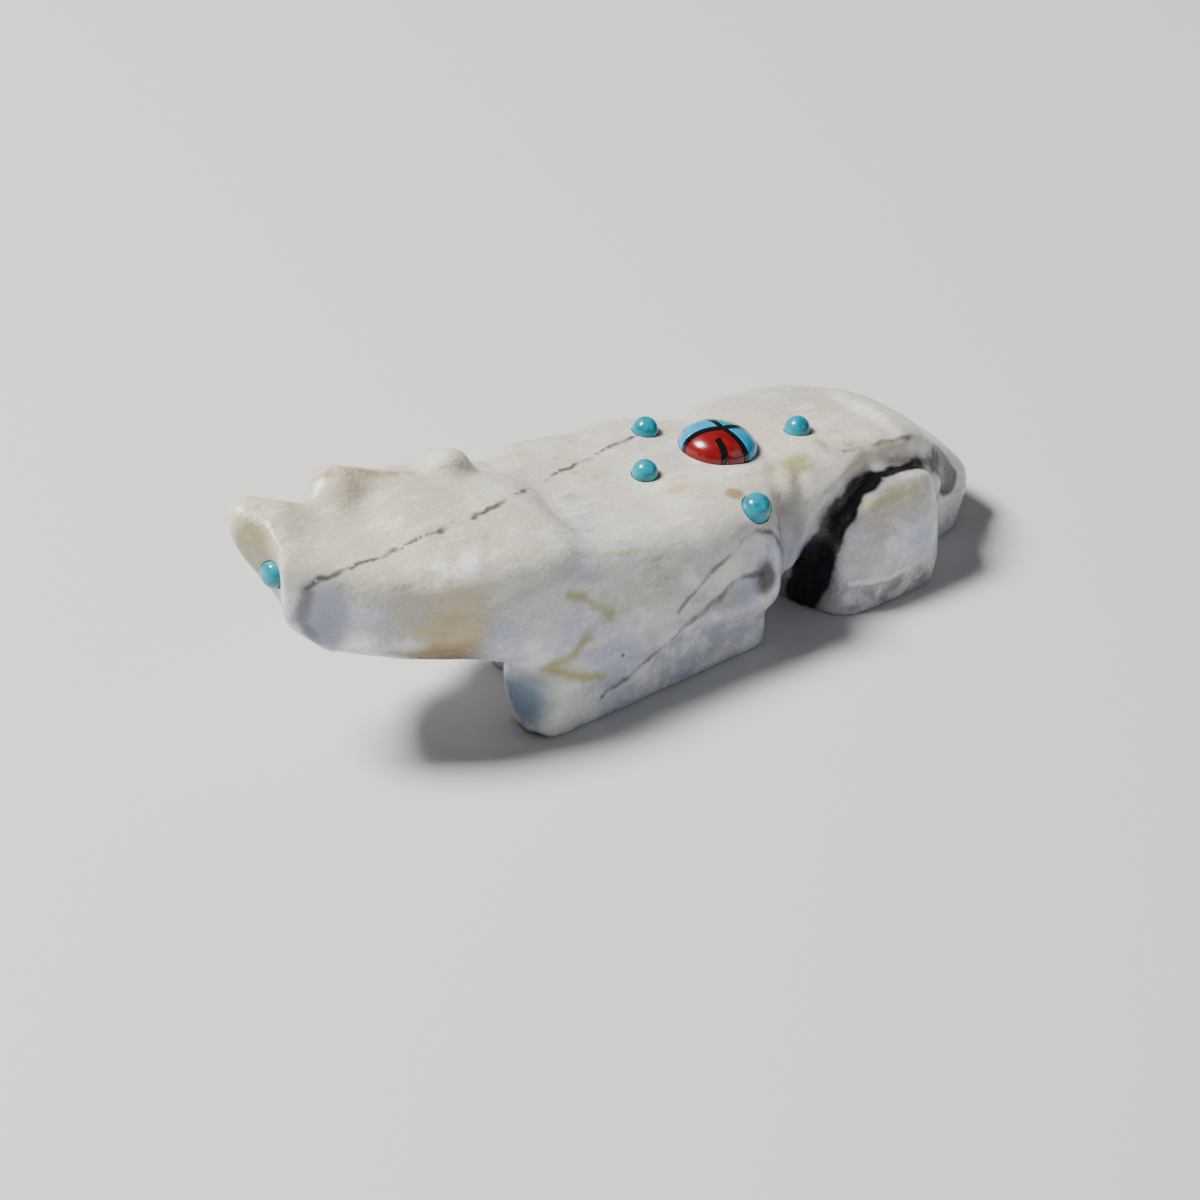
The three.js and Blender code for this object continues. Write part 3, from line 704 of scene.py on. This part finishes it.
marble = bpy.data.materials.new("veined_marble")
marble.use_nodes = True
tree = marble.node_tree
surface = tree.nodes["Principled BSDF"]
stain = Stain(tree, tone(212, 214, 214))
stain.lay(tone(176, 182, 212), stain.noise(0.1, 0.4, 0.6), 0.85)
stain.lay(tone(192, 184, 160), stain.noise(0.13, 0.5, 0.68, stretch=(0.7, 1.2, 1.6)), 0.6)
stain.lay(tone(244, 245, 244), stain.noise(0.32, 0.5, 0.68), 0.65)
stain.lay(tone(134, 134, 132), stain.noise(0.55, 0.58, 0.76, detail=6.0), 0.45)
torn = stain.noise(0.5, 0.4, 0.6, detail=5.0)

# a beige layer under the back and the neck, with pale strokes of the wheel across it
stain.lay(tone(206, 194, 168), stain.under(*saddle, 3.4, 0.4), 0.6)
neck_layer = stain.under(*neck, 3.0, 0.4)
ahead = stain.under((-22, 0, 0), (-1, 0, 0), 18, 0)
stain.lay(tone(200, 188, 158), stain.both(neck_layer, ahead), 0.7)
stain.lay(tone(226, 222, 208), stain.noise(0.5, 0.54, 0.62, detail=3.0, stretch=(0.45, 1.8, 1.0)), 0.55)
stain.lay(tone(120, 112, 92), stain.noise(0.8, 0.6, 0.7, detail=5.0, stretch=(0.4, 1.6, 1.0)), 0.4)
stain.lay(tone(246, 246, 244), stain.noise(3.5, 0.52, 0.66, detail=2.0), 0.25)
stain.lay(tone(120, 118, 112), stain.noise(4.5, 0.62, 0.74, detail=2.0), 0.3)

# brown under the head, darkest on its underside as painted shade, painted shade in brown on the snout's
# flank, a pale knot and an amber one on the cheek, and a bluish foot
# painted shade, in brown, on the snout's flank
stain.lay(tone(132, 122, 84), stain.patch((-30, 4.6, 17.5), (2.2, 2.6, 4)), 0.75)
stain.lay(tone(190, 168, 108), stain.patch((-19.4, -5.4, 11), (3.6, 3, 2.8)), 0.7)
stain.lay(tone(204, 190, 150), stain.both(torn, stain.patch((-20, -5.1, 12.8), (5, 3, 3.4))), 0.9)
stain.lay(tone(128, 104, 60), stain.patch((-22, -4.4, 9), (7, 4, 1.9)), 0.8)
# painted shade in dark brown on the underside of the head
stain.lay(tone(70, 56, 36), stain.patch((-21, -1, 7.8), (9.5, 6, 1.8)), 0.85)
stain.lay(tone(238, 239, 236), stain.both(torn, stain.patch((-18.5, -4.5, 15.8), (4.4, 1.8, 1.7))), 0.9)
stain.lay(tone(146, 152, 172), stain.patch((-27.6, -0.6, 13.6), (2.8, 2.4, 4)), 0.8)
stain.lay(tone(84, 110, 140), stain.patch((-13.8, -6, 3.4), (3, 2.8, 3.4)), 0.85)
stain.lay(tone(150, 158, 176), stain.both(torn, stain.patch((0, -8, 3), (9, 2.5, 3.5))), 0.7)
stain.lay(tone(150, 146, 80), stain.both(torn, stain.any_of([
    stain.patch((13.6, -4.7, 12.2), (2.6, 1.8, 1.4)), stain.patch((19.3, -3.7, 11.9), (2.8, 1.8, 1.4)),
])), 0.75)

# olive veins over the forearm, and a dashed line along the neck
stain.lay(tone(158, 152, 58), stain.any_of([stain.streak(stops, 0.02, 0.75) for stops in (
    ((-10.2, -7.3, 11.7), (-8.4, -7.5, 10.3), (-6.6, -7.9, 8.9)),
    ((-8.9, -8, 7.6), (-10.2, -7.9, 6.8), (-12.9, -7.4, 6.3), (-10.4, -8.2, 5.2), (-7.5, -8.1, 3.8)),
)]), 0.8)
above_olive = stain.streak(((-8.4, -6.2, 14), (-4.8, -6.7, 12.9), (-1.6, -7.2, 12)), 0.05, 0.4)
stain.lay(tone(168, 160, 110), above_olive, 0.5)
dashes = stain.noise(0.9, 0.36, 0.46, detail=2.0)
stain.lay(tone(58, 55, 50), stain.both(dashes, stain.streak((
    (-28.7, 0.1, 16.1), (-27.9, -0.3, 16.6), (-25.9, -0.9, 17.1), (-21.7, -1, 17), (-17.3, -1.3, 17.1),
    (-14.5, -1.2, 16.9), (-9.3, -0.1, 16.5), (-2.9, 2.3, 15.1), (2.6, 3.5, 14.3), (7.5, 4.2, 13.7),
), 0.05, 0.3)), 0.85)

# dark hair lines over the forearm and round the elbow, painted shade where the knob meets the forearm below
# it, and grey painted shade in the waist's hollow
hair_lines = (
    ((-7.3, -7.9, 2), (-3.6, -8.1, 3.5), (-0.4, -8.5, 5.1), (2.5, -8.5, 6.2), (5.7, -8.4, 7.2),
     (7.1, -8.9, 7.4)),
    ((-0.4, -8.2, 6.6), (2.7, -8.4, 8.8), (5, -8.3, 9.8), (7.5, -7.9, 10.4), (8.8, -8.3, 9.8),
     (9.9, -7.9, 8)),
    ((9.9, -7.6, 9.6), (11.6, -5.9, 11.5)),
    ((18.8, -4.7, 11.7), (21.5, -4.8, 11.3), (25.7, -4.8, 10.3), (28, -4, 9.4)),
)
stain.lay(tone(62, 58, 54), stain.any_of([stain.streak(stops, 0.03, 0.4) for stops in hair_lines]), 0.75)
# painted shade where the elbow's knob meets the forearm
stain.lay(tone(30, 26, 24), stain.patch((7.6, -9, 7), (1.3, 1.4, 1.6)), 0.9)
# painted shade, dark grey, in the hollow of the waist
stain.lay(tone(84, 82, 92), stain.patch((11.6, -6.8, 8.6), (2.2, 2.2, 3.4)), 0.6)

# a dark edge down the left cheek, brown along the crest, and amber glue beside two of the dots
cheek_edge = ((-28.7, 0.1, 15.8), (-29.2, 0.4, 13.2), (-28.6, -0.2, 11.4))
stain.lay(tone(82, 84, 92), stain.streak(cheek_edge, 0.15, 0.8), 0.75)
crest = ((-22.5, 5.8, 20.3), (-20.8, 5.2, 20.4), (-17.9, 5.7, 19.3), (-14.6, 4.3, 18.3))
stain.lay(tone(140, 126, 88), stain.both(torn, stain.streak(crest, 0.1, 1.0)), 0.7)
stain.lay(tone(150, 116, 56), stain.patch((7.6, -5.5, 12.6), (1.1, 0.8, 0.9)), 0.8)
stain.lay(tone(186, 156, 100), stain.patch((3.7, -3.2, 13.5), (1.3, 0.7, 0.8)), 0.6)

# the haunch: an olive line under the vein, a pale one over it, a darker grey mottle along the foot that is
# partly painted shade, and a painted highlight along a ridge above it
below_vein = ((17.4, -7.6, 8.5), (20.1, -8.1, 8.4), (23.1, -8.1, 8.3))
stain.lay(tone(186, 178, 120), stain.streak(below_vein, 0.1, 0.6), 0.7)
above_vein = ((19.5, -6, 10.6), (21.4, -5.6, 10.8), (23.2, -5.3, 10.8))
stain.lay(tone(206, 196, 144), stain.streak(above_vein, 0.1, 0.7), 0.7)
grey_and_shade_along_foot = ((15.6, -8.8, 1.4), (22.8, -9.2, 0.9))
# a darker grey mottle along the foot, partly painted shade under the ridge
stain.lay(tone(132, 132, 140), stain.both(torn, stain.streak(grey_and_shade_along_foot, 0.6, 1.1)), 0.8)
painted_highlight_on_foot_ridge = ((16.2, -8.7, 2.7), (19.2, -9.1, 2.4), (22.4, -9.1, 2.1))
# a painted highlight along the ridge of the foot
stain.lay(tone(244, 240, 222), stain.streak(painted_highlight_on_foot_ridge, 0.08, 0.3), 0.85)

# the black vein up the thigh's groove, with a violet edge, both widened low in the groove by painted shade,
# and near-black painted shade in the hollow beside the tail
black_vein_and_groove_shade = (
    (((14.4, -5.1, 0.9), (14.7, -5.6, 2.2), (14.9, -6.7, 4.9)), 1.3),
    (((14.9, -6.7, 4.9), (15.2, -7.2, 6.7), (16.5, -7.3, 8.3)), 0.95),
    (((16.5, -7.3, 8.3), (18.6, -6.7, 9.2), (20.3, -6.6, 9.5)), 0.6),
    (((20.3, -6.6, 9.5), (21.9, -6.5, 9.4), (24.7, -6, 8.7), (28, -5, 7.2)), 0.3),
)
# a violet edge round the black vein, partly painted shade where the vein widens low in the groove
stain.lay(tone(96, 84, 104), stain.any_of([stain.streak(stops, width, 1.0) for stops, width in black_vein_and_groove_shade]), 0.7)
painted_shade_beside_tail = stain.streak(((28.9, -4.5, 6.8), (30, -4.5, 4.7)), 1.1, 0.5)
black_vein_and_groove_shade_masks = [stain.streak(stops, width, 0.4) for stops, width in black_vein_and_groove_shade]
# near black: the vein, painted shade low in the thigh's groove, and painted shade in the hollow beside the
# tail
stain.lay(tone(8, 8, 9), stain.any_of([painted_shade_beside_tail, *black_vein_and_groove_shade_masks]))
tree.links.new(stain.colour, surface.inputs["Base Color"])

mottle = stain.noise(0.6, 0.3, 0.7)
rough = node(tree, "ShaderNodeMapRange", {"Value": mottle, "To Min": 0.2, "To Max": 0.38})
tree.links.new(rough.outputs[0], surface.inputs["Roughness"])
across_grain = vector_math(tree, "MULTIPLY", stain.place, (0.8, 1.3, 1.6))
scratches = node(
    tree, "ShaderNodeTexNoise", {"Vector": across_grain, "Scale": 1.3, "Detail": 4.0, "Roughness": 0.7},
).outputs["Fac"]
relief = node(tree, "ShaderNodeBump", {"Height": scratches, "Strength": 0.45, "Distance": 0.00015})
tree.links.new(relief.outputs[0], surface.inputs["Normal"])
surface.inputs["Subsurface Weight"].default_value = 0.2
surface.inputs["Subsurface Radius"].default_value = (1.0, 0.9, 0.8)
surface.inputs["Subsurface Scale"].default_value = 0.0008
surface.inputs["Coat Weight"].default_value = 0.12
surface.inputs["Coat Roughness"].default_value = 0.2
stone.data.materials.clear()
stone.data.materials.append(marble)
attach(stone, "root")
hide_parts("stone_animal")


# The four dots and the two eyes are turquoise beads. Each was ground round by hand, glued into a drilled
# hole, and polished to a dome that stands a little out of the stone.

def polished(name, base, mottle, amount, roughness):
    """A hard polished material: a base colour with a second one in clouds over it."""
    made = bpy.data.materials.new(name)
    made.use_nodes = True
    surface = made.node_tree.nodes["Principled BSDF"]
    stain = Stain(made.node_tree, base)
    stain.lay(mottle, stain.noise(1.1, 0.4, 0.7, detail=5.0), amount)
    made.node_tree.links.new(stain.colour, surface.inputs["Base Color"])
    surface.inputs["Roughness"].default_value = roughness
    surface.inputs["Coat Weight"].default_value = 0.3
    surface.inputs["Coat Roughness"].default_value = 0.08
    return made


turquoise = polished("turquoise", tone(0, 144, 164), tone(0, 96, 114), 0.8, 0.22)
bead_sides = 48
foot_share = 0.97
foot_bevel = 0.05
for name, radius in peg_radius.items():
    depth = eye_depth if name.startswith("eye") else dot_depth
    turn_of_dome = np.radians(np.linspace(0, 90, 13))
    high = eye_dome if name.startswith("eye") else dot_dome
    dome = [(math.cos(a), high * math.sin(a)) for a in turn_of_dome]
    dome[-1] = (0, high)
    profile = [(0, -depth), (foot_share, -depth), (1, -depth + foot_bevel), *dome]
    angle = 2 * np.pi * np.arange(bead_sides) / bead_sides
    hand_ground = radius * (0.985 + 0.012 * np.cos(2 * angle + radius * 9) + 0.003 * np.cos(5 * angle))
    bead = turned(name + "_bead", seats[name], hand_ground, profile, bead_sides)
    bead.data.materials.append(turquoise)
    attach(bead, "root")
    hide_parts(name)


# The sun is built up from slivers of coral, turquoise and jet, glued side by side in one round hole and
# ground to one dome. Its form is drawn on its seat in millimetres, with x to the tail and y to the right.

band_width = 0.42
sun_dome = 1.75
edge_from = 0.93
edge_bend = 12
lowest_edge = -0.3
far_away = 1e6
crossing = np.array([-0.09, -0.14]) * sun_radius
arm_ends = {
    "front": np.array([-0.97, 0.24]) * sun_radius,
    "right": np.array([0.11, 0.99]) * sun_radius,
    "rear": np.array([0.98, -0.2]) * sun_radius,
    "left": np.array([0.09, -1]) * sun_radius,
}


def dome_height(x, y):
    """The sun's dome over its seat: sun_dome sqrt(1 - r^2) with r in radii."""
    return sun_dome * np.sqrt(np.clip(1 - (x * x + y * y) / sun_radius**2, 0, 1))


def to_rim(start, u):
    """How far it is from a start along unit directions u (2, n) to the sun's rim."""
    b = start[0] * u[0] + start[1] * u[1]
    return np.sqrt(b * b - start @ start + sun_radius**2) - b


def to_line(start, u, through, normal):
    """How far along u until the line through a point is met from inside, or a very long way."""
    facing = u[0] * normal[0] + u[1] * normal[1]
    gap = (through - start) @ normal
    return np.where(facing > 1e-6, gap / np.maximum(facing, 1e-6), far_away)


def sliver(name, middle, reach, angle):
    """A piece of the sun as two parameters: an angle round its middle, and a share s of the way to its edge.
    Its top lies on the dome, less edge_bend (s - edge_from)^2 past edge_from, and its wall goes straight
    down."""
    u = np.array([np.cos(angle), np.sin(angle)])
    all_angles = np.ones(len(angle))
    shares = np.array([1.0, 0.975, edge_from, 0.85, 0.7, 0.5, 0.25])
    x = middle[0] + np.outer(shares, reach) * u[0]
    y = middle[1] + np.outer(shares, reach) * u[1]
    z = dome_height(x, y) - np.outer(np.clip(shares - edge_from, 0, 1) ** 2 * edge_bend, all_angles)
    z = np.maximum(z, lowest_edge)
    foot_ring = np.array([x[0], y[0], -sun_depth * all_angles])[:, None]
    rings = np.concatenate([foot_ring, np.array([x, y, z])], 1)
    ends = np.array([[*middle, -sun_depth], [*middle, float(dome_height(*middle))]]).T
    return closed_rings(name, seats["sun"], rings, ends)


def beside_arm(name, towards):
    """The line that bounds a wedge beside an arm, on the side of a point, with the glue between them."""
    along = arm_ends[name] - crossing
    normal = np.array([-along[1], along[0]]) / np.linalg.norm(along)
    if (towards - crossing) @ normal > 0:
        normal = -normal
    return crossing - normal * (band_width / 2 + glue_line), normal


def box_cutter(name, start, end, width):
    """A closed box through the sun along a line from start to end."""
    along = (end - start) / np.linalg.norm(end - start)
    across = np.array([-along[1], along[0]]) * width / 2
    foot, turn = seats["sun"]
    corners = [start - across, end - across, end + across, start + across]
    points = np.array([[*c, z] for z in (-drill_top, drill_top) for c in corners]).T
    sides = [(3, 2, 1, 0), (4, 5, 6, 7), (0, 1, 5, 4), (1, 2, 6, 5), (2, 3, 7, 6), (3, 0, 4, 7)]
    return mesh_from(name, turn @ points + foot[:, None], sides)


bright = polished("bright_turquoise", tone(0, 140, 194), tone(4, 164, 206), 0.7, 0.22)
coral = polished("coral", tone(112, 8, 14), tone(144, 30, 30), 0.6, 0.22)
jet = polished("jet", tone(9, 9, 11), tone(16, 16, 18), 0.5, 0.16)
all_round = 2 * np.pi * np.arange(240) / 240
u = np.array([np.cos(all_round), np.sin(all_round)])
bar_start = np.array([-0.48, -0.42]) * sun_radius
bar_way = np.array([-0.1, -0.995])
bar_length = 1.25
bar_end = bar_start + bar_length * bar_way
rim_start = np.array([-0.66, 0.75]) * sun_radius
rim_end = np.array([-0.16, 0.987]) * sun_radius
rim_along = (rim_end - rim_start) / np.linalg.norm(rim_end - rim_start)
rim_out = np.array([-rim_along[1], rim_along[0]])
rim_width = 0.36
rim_inset = 0.06
wedge_middle = 0.42

for name, first, second, paint, slot in (
    ("sun_coral", "front", "left", coral, "coral"),
    ("sun_turquoise_left", "front", "right", bright, "bright_turquoise"),
    ("sun_turquoise_top", "right", "rear", turquoise, "turquoise"),
    ("sun_turquoise_right", "rear", "left", bright, "bright_turquoise"),
):
    arms = [arm_ends[arm] - crossing for arm in (first, second)]
    between = sum(along / np.linalg.norm(along) for along in arms)
    middle = crossing + between / np.linalg.norm(between) * wedge_middle * sun_radius
    reach = to_rim(middle, u)
    for arm in (first, second):
        reach = np.minimum(reach, to_line(middle, u, *beside_arm(arm, middle)))
    if name == "sun_turquoise_left":
        inner = rim_start - rim_out * (rim_width / 2 + glue_line)
        far = to_line(middle, u, inner, rim_out)
        met = middle[:, None] + np.minimum(far, 2 * sun_radius) * u
        along_rim = (met - rim_start[:, None]).T @ rim_along
        over = (along_rim > -glue_line) & (along_rim < np.linalg.norm(rim_end - rim_start) + glue_line)
        reach = np.where(over, np.minimum(reach, far), reach)
    piece = sliver(name + "_sliver", middle, reach, all_round)
    if name == "sun_coral":
        glue = bar_way * glue_line
        cut_out(piece, [box_cutter("bar_slot", bar_start - glue, bar_end + glue, band_width + 2 * glue_line)])
    piece.data.materials.clear()
    piece.data.materials.append(paint)
    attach(piece, "root")
    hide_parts(name)

all_arms = 2 * np.pi * np.arange(720) / 720
fine_u = np.array([np.cos(all_arms), np.sin(all_arms)])
half = band_width / 2
reach = np.full(len(all_arms), half)
for end in arm_ends.values():
    along = (end - crossing) / np.linalg.norm(end - crossing)
    ahead = along @ fine_u
    beside = np.abs(along[0] * fine_u[1] - along[1] * fine_u[0])
    reach = np.where(ahead > 0, np.maximum(reach, half / np.maximum(beside, 1e-6)), reach)
reach = np.minimum(reach, to_rim(crossing, fine_u))
cross = sliver("sun_jet_cross_band", crossing, reach, all_arms)

bar_middle = (bar_start + bar_end) / 2
along = (bar_end - bar_start) / np.linalg.norm(bar_end - bar_start)
across = np.array([-along[1], along[0]])
reach = np.full(len(all_round), far_away)
for normal, gap in ((along, bar_length / 2), (-along, bar_length / 2), (across, half), (-across, half)):
    reach = np.minimum(reach, to_line(bar_middle, u, bar_middle + normal * gap, normal))
bar = sliver("sun_jet_bar_sliver", bar_middle, np.minimum(reach, to_rim(bar_middle, u)), all_round)

rim_middle = (rim_start + rim_end) / 2 - rim_out * rim_inset
reach = to_rim(rim_middle, u)
for through, normal in (
    (rim_start, -rim_along),
    (rim_end, rim_along),
    (rim_start - rim_out * rim_width / 2, -rim_out),
):
    reach = np.minimum(reach, to_line(rim_middle, u, through, normal))
rim = sliver("sun_jet_rim_sliver", rim_middle, reach, all_round)
for piece, name in ((cross, "sun_jet_cross"), (bar, "sun_jet_bar"), (rim, "sun_jet_rim")):
    piece.data.materials.append(jet)
    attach(piece, "root")
    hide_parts(name)
